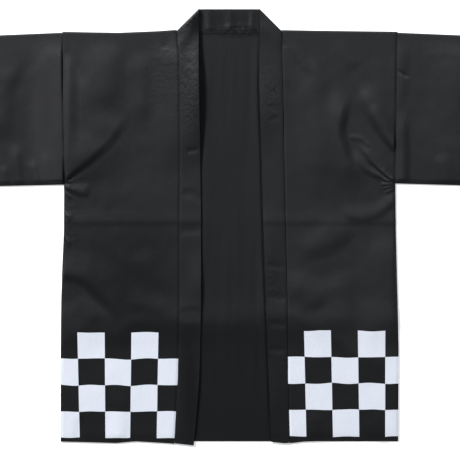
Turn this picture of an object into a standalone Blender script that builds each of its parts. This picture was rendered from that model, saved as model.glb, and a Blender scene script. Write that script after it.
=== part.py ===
"""A happi coat laid flat on its back: a festival coat of black cloth with a checked hem.

The coat lies on the plane z = 0 with its neck towards +Y and its fronts facing up (+Z). Left and
right are the wearer's, so the left sleeve points towards +X. The origin is the middle of the
coat's outline on the surface it lies on. Sizes and tables are in millimetres; MM makes them metres.

Six cut pieces: the back, two fronts, two sleeves and the collar, a doubled strip that runs up one
front edge, round the back neck and down the other, turned by a 45 degree fold at each neck corner.
"""
import math

import bmesh
import bpy
from mathutils import Vector

MM = 0.001

# Driving dimensions
CLOTH = 1.2              # wall of a single layer
COLLAR_WALL = 2.0        # wall of the doubled collar strip
COLLAR_WIDTH = 40.0      # finished width of the collar strip
SEAM_GAP = 0.3           # space between two pieces that are sewn together or lie on each other
SHOULDER_Y = 363.1       # shoulder fold at the neck
BACK_HEM_Y = -396.3      # hem of the back
CUFF_X = 620.0           # centre back to cuff
FRONT_LOFT = 1.0         # how far a front or a sleeve's upper layer floats where no fold lifts it
CORNER_RELIEF = 0.9      # a front's inner edge draws back by this much under the collar's corner
SEAM_MARGIN = 4.0        # level strip along a seam
FREE_REACH = 18.0        # distance from that strip to where a fold has its full height
SLEEVE_RISE = 0.12       # the same from a sleeve's folded edges, as a share of the sleeve's depth
ARMHOLE_REACH = 150.0    # on a front, the lift of a sleeve's seam fades within this
ARMHOLE_ENDS = 70.0      # and along the seam within this from each of its ends
FOLD_FADE = 0.3          # share of its run over which a fold fades at an end
FOLD_SPREAD = 0.6        # share of its run by which a fold has its full reaches

# Worked out from them
FRONT_REST = CLOTH + SEAM_GAP                # underside of what lies on the back
SLEEVE_EDGE = 2.0 * (CLOTH + SEAM_GAP)       # a sleeve's height along its two folded edges
FOLD_RADIUS = (COLLAR_WALL + 0.5) / 2.0      # middle of the collar strip where it turns over
TURN_LENGTH = math.pi * FOLD_RADIUS
FRONT_WIDTH = 214.0                          # side edge to collar seam, about
FRONT_LENGTH = SHOULDER_Y - BACK_HEM_Y
TURN_START = SEAM_GAP - TURN_LENGTH / math.sqrt(2.0)   # the turn starts here past the shoulder

# Mesh steps
BACK_STEPS = (14, 16)
FRONT_STEPS = (19, 62)
SLEEVE_STEPS = 14
SLEEVE_LAYER_STEPS = 12
SLEEVE_BEND_STEPS = 4
COLLAR_ACROSS = 3
COLLAR_FRONT_STEPS = 48
COLLAR_TURN_STEPS = 6
COLLAR_NECK_STEPS = 6

# Colour and finish of the cloth
BLACK = (0.021, 0.021, 0.024)
CLOTH_ROUGHNESS = 0.62

SIDE_EDGES = (
    # y,      right,   left
    (360.0, -310.8, 309.0),
    (220.0, -309.9, 307.1),
    (83.0, -307.7, 304.9),
    (-5.0, -308.0, 305.8),
    (-61.0, -310.4, 306.9),
    (-135.0, -313.0, 308.8),
    (-227.0, -313.9, 311.0),
    (-394.0, -314.1, 310.2),
)

COLLAR_EDGES = (
    # y,   right seam, right edge, left edge, left seam
    (363.0, -99.0, -59.0, 54.0, 94.0),
    (320.0, -95.2, -59.4, 53.2, 94.6),
    (260.0, -94.0, -58.6, 53.1, 96.6),
    (140.0, -93.2, -56.4, 57.0, 98.4),
    (20.0, -94.4, -54.9, 60.1, 100.8),
    (-160.0, -94.3, -54.9, 66.2, 104.9),
    (-280.0, -97.3, -57.9, 70.7, 105.8),
    (-404.0, -104.0, -67.8, 75.5, 109.4),
)
COLLAR_COLUMNS = {"right": (1, 2), "left": (4, 3)}     # seam and free edge of a side
NECK_MIDDLE_X = (COLLAR_EDGES[0][1] + COLLAR_EDGES[0][4]) / 2.0

SHOULDER_LINE = (
    # x,     y
    (-311.0, 359.8),
    (-204.0, 357.9),
    (-130.0, 360.9),
    (-99.0, SHOULDER_Y),
    (94.0, SHOULDER_Y),
    (166.0, 361.7),
    (309.0, 359.8),
)

HEM_LINE = (
    # x,     y, of the fronts and of the collar's ends
    (-314.0, -396.6),
    (-241.0, -398.5),
    (-204.0, -399.6),
    (-167.0, -396.4),
    (-101.0, -400.3),
    (-68.0, -404.0),
    (74.0, -397.2),
    (101.0, -400.0),
    (129.0, -396.8),
    (240.0, -394.1),
    (277.0, -396.4),
    (310.0, -394.1),
)

SLEEVE_EDGES = (
    # distance out, right top, right low, left top, left low
    (0.0, 359.8, 78.2, 359.8, 80.4),
    (116.0, 355.0, 75.7, 355.0, 77.1),
    (311.0, 348.0, 71.5, 347.0, 71.5),
)

# A fold runs through its points. Its two reaches are to the left and to the right of that run, and
# narrow is the share of them that it has at its start, where it comes out of a seam. A fold whose
# narrow is 1 fades at both ends.
FRONT_FOLDS = (
    # name, left reach, right reach, height, narrow, points
    ("right armpit ridge", 100, 19, 3.9, 0.4, ((-307, 86), (-270, 121), (-229, 160), (-207, 192))),
    ("right pucker ridge", 14, 16, 2.4, 0.7, ((-306, 75), (-284, 68), (-258, 64))),
    ("right shoulder ridge", 36, 60, 2.6, 1.0, ((-222, 372), (-226, 300), (-240, 215))),
    ("right middle ridge", 24, 34, 1.8, 1.0, ((-168, 330), (-160, 262), (-166, 190))),
    ("right chest ridge", 60, 60, 4.2, 1.0, ((-96, 390), (-94, 300), (-94, 215), (-96, 90))),
    ("right hip ridge", 70, 22, 2.5, 0.7, ((-308, -86), (-258, -100), (-234, -122), (-196, -176))),
    ("right waist ridge", 34, 44, 1.0, 1.0, ((-238, -58), (-186, -72), (-126, -64))),
    ("right low ridge", 36, 22, 1.2, 1.0, ((-198, -132), (-172, -140), (-140, -150), (-104, -154))),
    ("right hem ridge", 30, 22, 1.2, 0.9, ((-206, -400), (-201, -346), (-208, -300))),
    ("left outer ridge", 64, 19, 4.0, 1.0, ((258, 76), (217, 116), (204, 147), (197, 179), (215, 258))),
    ("left inner ridge", 19, 34, 3.4, 0.7, ((304, 150), (277, 188), (263, 214), (246, 268))),
    ("left seam fold", 30, 38, 1.3, 0.6, ((305, 156), (292, 181), (256, 230), (240, 258))),
    ("left bowl ridge", 17, 28, 1.4, 0.8, ((296, 44), (256, 20), (217, 25), (205, 48))),
    ("left flank ridge", 66, 26, 3.4, 1.0, ((296, -240), (295, -160), (296, -80), (298, 0))),
    ("left chest crease", 16, 14, 1.5, 1.0, ((108, 354), (118, 334), (146, 278))),
    ("left shoulder ridge", 18, 30, 1.3, 1.0, ((206, 356), (214, 318), (236, 292))),
    ("left middle ridge", 34, 44, 2.4, 1.0, ((168, 330), (150, 240), (166, 120), (160, 40))),
    ("left waist ridge", 30, 44, 1.9, 1.0, ((226, 14), (196, -18), (160, -36), (120, -42))),
    ("left hip ridge", 40, 60, 1.6, 1.0, ((190, -80), (204, -140), (204, -200))),
    ("left low ridge", 40, 38, 2.4, 1.0, ((100, -112), (128, -112), (162, -156))),
)

SLEEVE_FOLDS = (
    # name, left reach, right reach, height, narrow, points
    ("right seam ridge", 40, 78, 5.6, 1.0, ((-300, 376), (-300, 200), (-302, -20))),
    ("right outer ridge", 30, 44, 2.6, 1.0, ((-402, 320), (-424, 240), (-418, 150))),
    ("right cuff ridge", 44, 60, 3.6, 1.0, ((-486, 320), (-520, 130))),
    ("left seam ridge", 24, 18, 2.4, 0.8, ((328, 70), (327, 120), (325, 190), (323, 250))),
    ("left sleeve ridge", 60, 96, 3.6, 1.0, ((430, 370), (426, 220), (430, 30))),
    ("left cuff ridge", 50, 60, 3.4, 1.0, ((500, 310), (470, 130))),
)

COLLAR_LIFTS = (
    # side, y, reach to either side, rise of the free edge
    ("right", 252.0, 150.0, 9.0),
    ("right", -110.0, 80.0, 2.6),
    ("right", -300.0, 110.0, 1.8),
    ("left", 215.0, 90.0, 2.5),
    ("left", -60.0, 120.0, 3.0),
    ("left", -330.0, 90.0, 2.5),
)

PACKING_CREASES = (
    # y, rise, reach towards the neck, reach towards the hem
    (9.0, 0.6, 16.0, 14.0),
    (-176.0, 1.6, 50.0, 50.0),
)

ARMHOLE_LIFTS = {
    # side: lower end, upper end, rise of the sleeve's seam
    "right": (70.0, 352.0, 5.6),
    "left": (70.0, 340.0, 1.0),
}


def clear_scene():
    for old in list(bpy.data.objects):
        bpy.data.objects.remove(old, do_unlink=True)


def read_row(table, at, column):
    """A column of a table at a place of its first column, between rows and level past the ends."""
    rows = sorted(table)
    if at <= rows[0][0]:
        return rows[0][column]
    for low, high in zip(rows, rows[1:]):
        if at <= high[0]:
            return blend(low[column], high[column], (at - low[0]) / (high[0] - low[0]))
    return rows[-1][column]


def blend(start, end, share):
    return start + (end - start) * share


def ease(share):
    """0 to 1 with a level start and end."""
    share = min(max(share, 0.0), 1.0)
    return share * share * (3.0 - 2.0 * share)


def with_margin(share, steps, margin):
    """Even steps from 0 to 1 made uneven, so that the first and the last are narrow seam margins."""
    step = round(share * steps)
    if step in (0, steps):
        return share
    return margin + (1.0 - 2.0 * margin) * (step - 1) / (steps - 2)


def bump(distance, reach):
    """1 in the middle of a rise, 0 at its reach to either side."""
    return ease(1.0 - abs(distance) / reach)


def fold_height(x, y, left_reach, right_reach, height, narrow, points):
    """Height of one fold at a point of the cloth."""
    here = Vector((x, y))
    nearest = (math.inf, 0.0, left_reach)
    for number, (start, end) in enumerate(zip(points, points[1:])):
        run = Vector(end) - Vector(start)
        along = min(max((here - Vector(start)).dot(run) / run.length_squared, 0.0), 1.0)
        off = here - Vector(start) - run * along
        reach = left_reach if run.cross(off) > 0.0 else right_reach
        nearest = min(nearest, (off.length, (number + along) / (len(points) - 1), reach))
    distance, share, reach = nearest
    fade = ease((1.0 - share) / FOLD_FADE)
    if narrow == 1.0:
        fade *= ease(share / FOLD_FADE)
    return height * fade * bump(distance, reach * blend(narrow, 1.0, ease(share / FOLD_SPREAD)))


def folds(table, x, y):
    return sum(fold_height(x, y, *row[1:]) for row in table)


def packing_height(y):
    """Two level creases, left by folding the coat into its packet."""
    return sum(
        rise * bump(y - crease_y, upward if y > crease_y else downward)
        for crease_y, rise, upward, downward in PACKING_CREASES)


def past_margin(distance):
    """How free the cloth is to rise at a distance from a seam or an end: not within the margin."""
    return ease((distance - SEAM_MARGIN) / FREE_REACH)


def armhole_lift(side, y):
    """How far the seam of a sleeve is lifted off the back."""
    low, high, rise = ARMHOLE_LIFTS[side]
    return rise * ease((y - low) / ARMHOLE_ENDS) * ease((high - y) / ARMHOLE_ENDS)


def front_lift(x, y, seam_x):
    """Lift of a front and of its collar by the folds. They run on over the seam between the two."""
    from_ends = min(y - BACK_HEM_Y, SHOULDER_Y - y)
    over_x = blend(seam_x, x, past_margin(abs(x - seam_x)))
    return past_margin(from_ends) * folds(FRONT_FOLDS, over_x, y)


def new_material(name):
    material = bpy.data.materials.new(name)
    material.use_nodes = True
    shader = material.node_tree.nodes["Principled BSDF"]
    shader.inputs["Base Color"].default_value = (*BLACK, 1.0)
    shader.inputs["Roughness"].default_value = CLOTH_ROUGHNESS
    shader.inputs["Metallic"].default_value = 0.0
    return material


def cloth_piece(name, steps, place, wall, grows, closed=False):
    """A grid of cloth thickened to a wall, each of its points moved to place(across, along).

    `across` and `along` run from 0 to 1. `grows` is 1 for a wall laid on the grid's face, -1 for
    one under it and 0 for both. A closed piece is a tube, joined where `along` is 0 and 1.
    """
    shape = bmesh.new()
    bmesh.ops.create_grid(shape, x_segments=steps[0], y_segments=steps[1], size=0.5)
    for vert in shape.verts:
        vert.co = Vector(place(vert.co.x + 0.5, vert.co.y + 0.5)) * MM
    if closed:
        bmesh.ops.remove_doubles(shape, verts=shape.verts, dist=0.00001)
    mesh = bpy.data.meshes.new(name)
    shape.to_mesh(mesh)
    shape.free()
    mesh.materials.append(new_material(name + "_cloth"))
    mesh.shade_smooth()
    piece = bpy.data.objects.new(name, mesh)
    coat.objects.link(piece)
    solidify = piece.modifiers.new("wall", "SOLIDIFY")
    solidify.thickness = wall * MM
    solidify.offset = grows
    solidify.use_even_offset = True
    return piece


def back_point(across, along):
    """The back: flat on the surface, from its hem to the shoulder fold and from side to side."""
    x_near = blend(SIDE_EDGES[0][1], SIDE_EDGES[0][2], across)
    y = blend(BACK_HEM_Y, read_row(SHOULDER_LINE, x_near, 1), along)
    return blend(read_row(SIDE_EDGES, y, 1), read_row(SIDE_EDGES, y, 2), across), y, 0.0


def front_point(side, across, along):
    """A front's underside: across runs towards +X, along from the hem to the shoulder fold."""
    inward = 1.0 if side == "right" else -1.0
    across = with_margin(across, FRONT_STEPS[0], SEAM_MARGIN / FRONT_WIDTH)
    along = with_margin(along, FRONT_STEPS[1], SEAM_MARGIN / FRONT_LENGTH)
    from_side = across if side == "right" else 1.0 - across
    side_column = 1 if side == "right" else 2
    seam_column = COLLAR_COLUMNS[side][0]
    side_x = read_row(SIDE_EDGES, 0.0, side_column)
    x_near = blend(side_x, read_row(COLLAR_EDGES, 0.0, seam_column), from_side)
    y = blend(read_row(HEM_LINE, x_near, 1), read_row(SHOULDER_LINE, x_near, 1), along)
    relief = SEAM_GAP + CORNER_RELIEF * ease((y - SHOULDER_Y) / COLLAR_WIDTH + 1.0)
    seam_x = read_row(COLLAR_EDGES, y, seam_column) - inward * relief
    x = blend(read_row(SIDE_EDGES, y, side_column), seam_x, from_side)
    loft = FRONT_LOFT * past_margin((1.0 - from_side) * FRONT_WIDTH)
    loft *= past_margin(min(along, 1.0 - along) * FRONT_LENGTH)
    loft = past_margin(from_side * FRONT_WIDTH) * (loft + front_lift(x, y, seam_x))
    from_armhole = max(from_side * FRONT_WIDTH - SEAM_MARGIN, 0.0)
    loft += armhole_lift(side, y) * (1.0 - ease(from_armhole / ARMHOLE_REACH))
    return x, y, FRONT_REST + loft + packing_height(y)


def sleeve_section(top_y, low_y):
    """Once round a flattened sleeve: y, z and how free each point is to rise."""
    radius = SLEEVE_EDGE / 2.0
    low_end = low_y + radius
    top_end = top_y - radius
    points = []
    for step in range(SLEEVE_LAYER_STEPS):
        share = step / SLEEVE_LAYER_STEPS
        free = ease(share / SLEEVE_RISE) * ease((1.0 - share) / SLEEVE_RISE)
        points.append((blend(low_end, top_end, share), SLEEVE_EDGE, free))
    for step in range(SLEEVE_BEND_STEPS):
        turn = math.pi * step / SLEEVE_BEND_STEPS
        points.append((top_end + radius * math.sin(turn), radius + radius * math.cos(turn), 0.0))
    for step in range(SLEEVE_LAYER_STEPS):
        points.append((blend(top_end, low_end, step / SLEEVE_LAYER_STEPS), 0.0, 0.0))
    for step in range(SLEEVE_BEND_STEPS):
        turn = math.pi * step / SLEEVE_BEND_STEPS
        points.append((low_end - radius * math.sin(turn), radius - radius * math.cos(turn), 0.0))
    return points + points[:1]


def sleeve_point(side, across, along):
    """A sleeve's outside: across runs towards +X, along once round it."""
    out = -1.0 if side == "right" else 1.0
    sleeve_length = SLEEVE_EDGES[-1][0]
    from_seam = 1.0 - across if side == "right" else across
    from_seam = with_margin(from_seam, SLEEVE_STEPS, SEAM_MARGIN / sleeve_length)
    side_column = 1 if side == "right" else 2
    edge_columns = (1, 2) if side == "right" else (3, 4)
    reach = from_seam * sleeve_length
    top_y, low_y = (read_row(SLEEVE_EDGES, reach, column) for column in edge_columns)
    section = sleeve_section(top_y, low_y)
    y, z, free = section[round(along * (len(section) - 1))]
    x = blend(read_row(SIDE_EDGES, y, side_column) + out * SEAM_GAP, out * CUFF_X, from_seam)
    loft = FRONT_LOFT + folds(SLEEVE_FOLDS, x, y)
    return x, y, z + free * blend(armhole_lift(side, y), loft, past_margin(reach))


def collar_station(side, lateral, step):
    """Length along the flat strip at a step from the hem: 0 at the shoulder, positive past it.

    Steps lean over as they near the neck corner, so that they lie along its 45 degree fold.
    """
    seam_column, edge_column = COLLAR_COLUMNS[side]
    seam_x = COLLAR_EDGES[-1][seam_column]
    hem_x = blend(seam_x, COLLAR_EDGES[-1][edge_column], lateral / COLLAR_WIDTH)
    hem = read_row(HEM_LINE, hem_x, 1) - SHOULDER_Y
    turn = TURN_START + lateral
    turned = turn + TURN_LENGTH * math.sqrt(2.0)
    middle = abs(COLLAR_EDGES[0][seam_column] - NECK_MIDDLE_X) + SEAM_GAP
    if step <= COLLAR_FRONT_STEPS:
        return blend(hem, turn, step / COLLAR_FRONT_STEPS)
    step -= COLLAR_FRONT_STEPS
    if step <= COLLAR_TURN_STEPS:
        return blend(turn, turned, step / COLLAR_TURN_STEPS)
    return blend(turned, middle, (step - COLLAR_TURN_STEPS) / COLLAR_NECK_STEPS)


def collar_point(across, along):
    """The middle of the collar strip: along runs from the right hem round the neck to the left hem.

    The strip runs straight up a front and on past the shoulder, then is turned over about its
    45 degree fold, so that it goes under itself and along the neck.
    """
    side = "right" if along <= 0.5 else "left"
    inward = 1.0 if side == "right" else -1.0
    from_seam = with_margin(across, COLLAR_ACROSS, SEAM_MARGIN / COLLAR_WIDTH)
    lateral = from_seam * COLLAR_WIDTH
    half_steps = COLLAR_FRONT_STEPS + COLLAR_TURN_STEPS + COLLAR_NECK_STEPS
    step = round(min(along, 1.0 - along) * 2.0 * half_steps)
    length = collar_station(side, lateral, step)
    y = SHOULDER_Y + length
    seam_column, edge_column = COLLAR_COLUMNS[side]
    seam_x = read_row(COLLAR_EDGES, y, seam_column)
    x = blend(seam_x, read_row(COLLAR_EDGES, y, edge_column), from_seam)
    past = (length - lateral - TURN_START) / math.sqrt(2.0)
    neck_z = COLLAR_WALL / 2.0
    top_z = neck_z + 2.0 * FOLD_RADIUS
    if past <= 0.0:
        z = blend(FRONT_REST + neck_z, top_z, ease(1.0 + (y - SHOULDER_Y) / COLLAR_WIDTH))
        for lift_side, lift_y, reach, rise in COLLAR_LIFTS:
            if lift_side == side:
                z += rise * bump(y - lift_y, reach) * ease(from_seam)
        return x, y, z + front_lift(x, y, seam_x) + packing_height(y)
    outward = Vector((-inward, 1.0)) / math.sqrt(2.0)
    turn = min(past, TURN_LENGTH) / FOLD_RADIUS
    back_run = max(past - TURN_LENGTH, 0.0)
    flat = Vector((x, y)) + outward * (FOLD_RADIUS * math.sin(turn) - past - back_run)
    return flat.x, flat.y, top_z - FOLD_RADIUS * (1.0 - math.cos(turn))


clear_scene()
coat = bpy.data.collections.new("happi_coat")
bpy.context.scene.collection.children.link(coat)

cloth_piece("back", BACK_STEPS, back_point, CLOTH, 1.0)
for wearer_side in ("right", "left"):
    cloth_piece(
        "front_" + wearer_side, FRONT_STEPS,
        lambda across, along: front_point(wearer_side, across, along), CLOTH, 1.0)
    cloth_piece(
        "sleeve_" + wearer_side, (SLEEVE_STEPS, 2 * (SLEEVE_LAYER_STEPS + SLEEVE_BEND_STEPS)),
        lambda across, along: sleeve_point(wearer_side, across, along), CLOTH, -1.0, closed=True)
collar_length_steps = 2 * (COLLAR_FRONT_STEPS + COLLAR_TURN_STEPS + COLLAR_NECK_STEPS)
cloth_piece("collar", (COLLAR_ACROSS, collar_length_steps), collar_point, COLLAR_WALL, 0.0)
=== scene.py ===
"""The looks of a happi coat laid flat: black ribbed cloth, a white check along the hem, and the
creases of a coat just out of its packet. Tables are in millimetres and MM makes them metres.
Left and right are the wearer's: +X is towards the left cuff, +Y towards the neck, +Z up."""
import functools
import math

import bmesh
import bpy
from mathutils import Matrix, Vector, noise
from mathutils.bvhtree import BVHTree


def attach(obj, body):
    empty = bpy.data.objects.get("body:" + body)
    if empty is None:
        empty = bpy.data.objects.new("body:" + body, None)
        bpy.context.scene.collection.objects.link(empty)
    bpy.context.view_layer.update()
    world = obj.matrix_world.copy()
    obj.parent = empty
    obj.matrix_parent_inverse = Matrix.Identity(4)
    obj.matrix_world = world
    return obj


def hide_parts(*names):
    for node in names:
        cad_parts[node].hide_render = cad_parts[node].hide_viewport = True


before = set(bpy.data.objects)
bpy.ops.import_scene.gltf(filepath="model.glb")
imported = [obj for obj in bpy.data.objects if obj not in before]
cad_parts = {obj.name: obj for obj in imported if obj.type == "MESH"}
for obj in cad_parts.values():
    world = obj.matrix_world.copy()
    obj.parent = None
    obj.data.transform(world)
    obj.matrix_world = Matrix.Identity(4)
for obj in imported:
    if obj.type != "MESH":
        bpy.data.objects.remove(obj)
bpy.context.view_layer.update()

MM = 0.001

# Body: the two fronts and the back in one length of black cloth that is folded over the shoulders.
# It is slit down the front, with its side edges sewn below the armholes and its hem turned under.
# The hem carries a printed white check, four rows deep, on the outside only.
BODY_CLOTH = 0.9            # thickness of the cloth as it shows
BODY_REST = 1.55            # inner skin of a front where it lies on the back
BACK_HEM_Y = -396.3
SHOULDER_Y = 363.1
FRONT_LOFT = 0.8
NECK_STITCH_Y = 356.6       # the neck's seam allowance is stitched down along this line
TURNED_RISE = 0.6           # step of the cloth beside the stitches of an allowance or a turned-in edge
TURNED_STEP = 2.0           # width of that step
SEAM_GAP = 0.3              # a front's edge stops this far from the collar's
SEAM_DIP = 0.8              # depth of the groove at a seam, and its reach to either side
SEAM_REACH = 4.0
SIDE_REACH = 5.0            # a front rises from its side seam, its hem and the shoulder within these
HEM_REACH = 18.0
SHOULDER_REACH = 60.0
ARMHOLE_REACH = 150.0       # the lift of a sleeve's seam fades within this on a front
FRONT_WIDTH = 214.0
FRONT_LENGTH = SHOULDER_Y - BACK_HEM_Y
FRONT_COLUMNS = 68
NECK_COLUMNS = 130
BACK_ROWS = 52
SHOULDER_ROWS = 6
FRONT_ROWS = 232

SIDE_EDGES = (
    # y,      right,   left
    (360.0, -310.8, 309.0),
    (220.0, -309.9, 307.1),
    (83.0, -307.7, 304.9),
    (-5.0, -308.0, 305.8),
    (-61.0, -310.4, 306.9),
    (-135.0, -313.0, 308.8),
    (-227.0, -313.9, 311.0),
    (-394.0, -314.1, 310.2),
)

COLLAR_EDGES = (
    # y,   right seam, right edge, left edge, left seam
    (363.0, -99.0, -59.0, 54.0, 94.0),
    (320.0, -95.2, -59.4, 53.2, 94.6),
    (260.0, -94.0, -58.6, 53.1, 96.6),
    (140.0, -93.2, -56.4, 57.0, 98.4),
    (20.0, -94.4, -54.9, 60.1, 100.8),
    (-160.0, -94.3, -54.9, 66.2, 104.9),
    (-280.0, -97.3, -57.9, 70.7, 105.8),
    (-404.0, -104.0, -67.8, 75.5, 109.4),
)

SHOULDER_LINE = (
    # x,     y
    (-311.0, 359.8),
    (-204.0, 357.9),
    (-130.0, 360.9),
    (-99.0, SHOULDER_Y),
    (94.0, SHOULDER_Y),
    (166.0, 361.7),
    (309.0, 359.8),
)

HEM_LINE = (
    # x,     y, of the fronts and of the collar's ends
    (-314.0, -396.6),
    (-241.0, -398.5),
    (-204.0, -399.6),
    (-167.0, -396.4),
    (-101.0, -400.3),
    (-68.0, -404.0),
    (74.0, -397.2),
    (101.0, -400.0),
    (129.0, -396.8),
    (240.0, -394.1),
    (277.0, -396.4),
    (310.0, -394.1),
)

# The mesh of a front is closest at the armpit, where its creases are sharpest.
FRONT_COLUMN_PLACES = (
    # column, share of the width from the side
    (0, 0.0),
    (6, 0.045),
    (50, 0.58),
    (63, 0.955),
    (FRONT_COLUMNS, 1.0),
)
BACK_ROW_PLACES = (
    # row, share of the length from the hem
    (0, 0.0),
    (42, 0.975),
    (BACK_ROWS, 1.0),
)
FRONT_ROW_PLACES = (
    # row, share of the length from the hem
    (0, 0.0),
    (6, 0.02),
    (46, 0.29),
    (96, 0.56),
    (196, 0.86),
    (228, 0.985),
    (FRONT_ROWS, 1.0),
)

# Creases of the fronts. A crease runs through its points, starting at the seam if it comes out of
# one. The two reaches are to the left and to the right of that run: a short one beside a long one
# makes a sharp crease. Narrow is the share of its reach that it has at its start: with less than 1
# it is at its full height there, and with 1 it rises from nothing.
FOLD_FADE = 0.3             # share of its run in which a crease rises or fades out at an end
FOLD_SPREAD = 0.6           # share of its run in which it widens from a narrow start
FRONT_CREASES = (
    # name, left reach, right reach, height, narrow, points
    ("right armpit ridge", 100, 19, 2.4, 0.3,
     ((-307, 86), (-292, 104), (-270, 121), (-250, 141), (-229, 160), (-207, 192), (-196, 216))),
    ("right armpit fold", 64, 16, 1.7, 0.3,
     ((-307, 86), (-288, 106), (-266, 124), (-246, 144), (-230, 158))),
    ("right armpit foot", 16, 34, 0.5, 0.3, ((-296, 84), (-262, 100), (-232, 124), (-204, 158))),
    ("right pucker ridge", 22, 12, 2.0, 0.4, ((-306, 74), (-284, 67), (-258, 62))),
    ("right small pucker", 3, 3, 1.6, 0.6, ((-306, 85), (-292, 84))),
    ("right low pucker", 3, 4, 1.4, 0.5, ((-306, 66), (-294, 52))),
    ("right side nick", 4, 6, 1.5, 0.6, ((-306, 27), (-294, 14))),
    ("right low side nick", 7, 4, 1.2, 0.6, ((-307, -18), (-296, -34))),
    ("right seam ridge", 20, 7, 1.6, 1.0, ((-300, 345), (-299, 230), (-300, 96))),
    ("right shoulder ridge", 38, 60, 2.6, 1.0, ((-222, 372), (-226, 300), (-236, 205))),
    ("right shoulder trough", 22, 17, -0.7, 0.8, ((-300, 322), (-284, 286), (-270, 256))),
    ("right middle ridge", 24, 34, 1.8, 1.0, ((-168, 330), (-160, 262), (-166, 190))),
    ("right chest ridge", 60, 60, 4.2, 1.0, ((-96, 390), (-94, 300), (-94, 215), (-96, 90))),
    ("right shoulder nick", 7, 8, -2.6, 0.7, ((-116, 362), (-121, 326))),
    ("right hip ridge", 70, 22, 2.5, 0.7,
     ((-308, -86), (-282, -89), (-258, -100), (-234, -122), (-210, -146), (-196, -176))),
    ("right hip foot", 24, 34, 1.1, 1.0, ((-292, -128), (-262, -146), (-240, -182))),
    ("right waist ridge", 34, 60, 0.7, 1.0, ((-238, -58), (-186, -72), (-126, -64))),
    ("right low ridge", 36, 22, 1.2, 1.0, ((-198, -132), (-172, -140), (-140, -150), (-104, -154))),
    ("right hem ridge", 30, 22, 1.2, 0.9, ((-206, -400), (-201, -346), (-208, -300))),
    ("right hem trough", 14, 20, -1.0, 0.9, ((-284, -400), (-276, -350))),
    ("left outer ridge", 64, 19, 4.0, 1.0,
     ((258, 76), (236, 94), (217, 116), (204, 147), (197, 179), (203, 212), (215, 258))),
    ("left outer foot", 11, 20, 1.9, 0.5,
     ((304, 84), (280, 94), (262, 100), (246, 110), (232, 128), (224, 146))),
    ("left inner ridge", 19, 34, 1.9, 0.7,
     ((304, 150), (289, 167), (277, 188), (263, 214), (252, 240), (244, 276))),
    ("left inner fold", 17, 30, 1.5, 0.7, ((304, 150), (289, 167), (277, 188), (264, 212), (258, 232))),
    ("left armpit fold", 6, 24, 1.8, 0.4, ((305, 84), (289, 95), (270, 112), (252, 134), (238, 156))),
    ("left seam fold", 30, 38, 1.3, 0.6, ((305, 156), (292, 181), (276, 205), (256, 230), (240, 258))),
    ("left hook", 7, 9, 0.6, 0.8, ((254, 152), (244, 162), (232, 166), (214, 164))),
    ("left sharp crease", 6, 5, -2.2, 0.5, ((305, 81), (288, 91), (268, 107), (250, 126))),
    ("left pucker one", 4, 4, 1.5, 0.4, ((306, 83), (280, 88))),
    ("left pucker two", 4, 3, 1.7, 0.4, ((306, 80), (277, 79))),
    ("left pucker three", 3, 4, 1.5, 0.4, ((306, 77), (280, 70))),
    ("left pucker four", 4, 4, 1.2, 0.4, ((306, 74), (284, 62))),
    ("left bowl ridge", 15, 28, 1.4, 0.8,
     ((296, 44), (276, 28), (256, 20), (236, 18), (217, 25), (205, 48))),
    ("left flank ridge", 66, 26, 3.4, 1.0, ((296, -240), (295, -160), (296, -80), (298, 0))),
    ("left chest crease", 14, 6, 1.7, 1.0, ((108, 354), (118, 334), (130, 312), (146, 278))),
    ("left shoulder nick", 5, 6, -1.8, 0.7, ((98, 360), (102, 330))),
    ("left shoulder ridge", 16, 30, 0.9, 1.0, ((206, 356), (214, 318), (236, 292))),
    ("left middle ridge", 34, 44, 2.4, 1.0, ((168, 330), (150, 240), (166, 120), (160, 40))),
    ("left waist ridge", 30, 44, 1.9, 1.0, ((226, 14), (196, -18), (160, -36), (120, -42))),
    ("left hip ridge", 40, 60, 1.6, 1.0, ((190, -80), (204, -140), (204, -200))),
    ("left low ridge", 40, 38, 2.4, 1.0, ((100, -112), (128, -112), (150, -128), (162, -156))),
    ("left hem ridge", 24, 22, 0.5, 0.9, ((266, -400), (262, -350))),
    ("left hem fold", 18, 24, 1.1, 0.9, ((152, -400), (158, -340))),
)

PACKING_CREASES = (
    # y, rise, reach towards the neck, reach towards the hem
    (9.0, 0.55, 26.0, 6.0),
    (-176.0, 1.6, 50.0, 50.0),
)

# The back's inside has soft streaks and a low ridge beside the free edge of the left collar.
BACK_FADE = 0.125           # share of the back's length in which both fade out at its ends
BACK_PACKING = 0.7          # height of the packing creases on the back, as a share of the fronts'
STREAK_WIDTH = 17.0
STREAK_LENGTH = 130.0
STREAK_HEIGHT = 0.5
STREAK_SHARE = 0.2          # added to the noise, so that over half of the cloth is streaked
EDGE_RIDGE_OFF = 4.2        # distance of the ridge from that edge, into the opening
EDGE_RIDGE_IN = 14.0        # its reach into the opening, and back towards the edge
EDGE_RIDGE_OUT = 3.4

# Loose cloth is a little uneven. Each layer of the noise has a form of its own.
WAVES = (
    # width, length, height, layer above the given one
    (56.0, 80.0, 0.62, 0.0),
    (21.0, 27.0, 0.28, 5.0),
)
NOISE_LAYERS = {
    "fronts": 1.0, "right sleeve": 2.0, "left sleeve": 3.0, "collar": 4.0,
    "back": 6.0, "neck": 8.0, "print": 9.0,
}

ARMHOLE_LOW_FADE = 70.0     # the lift of a sleeve's seam fades within these towards its two ends
ARMHOLE_TOP_FADE = 150.0
ARMHOLE_LIFTS = {
    # side: lower end, upper end, rise of the sleeve's seam
    "right": (70.0, 352.0, 5.6),
    "left": (70.0, 340.0, 1.0),
}

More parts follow.
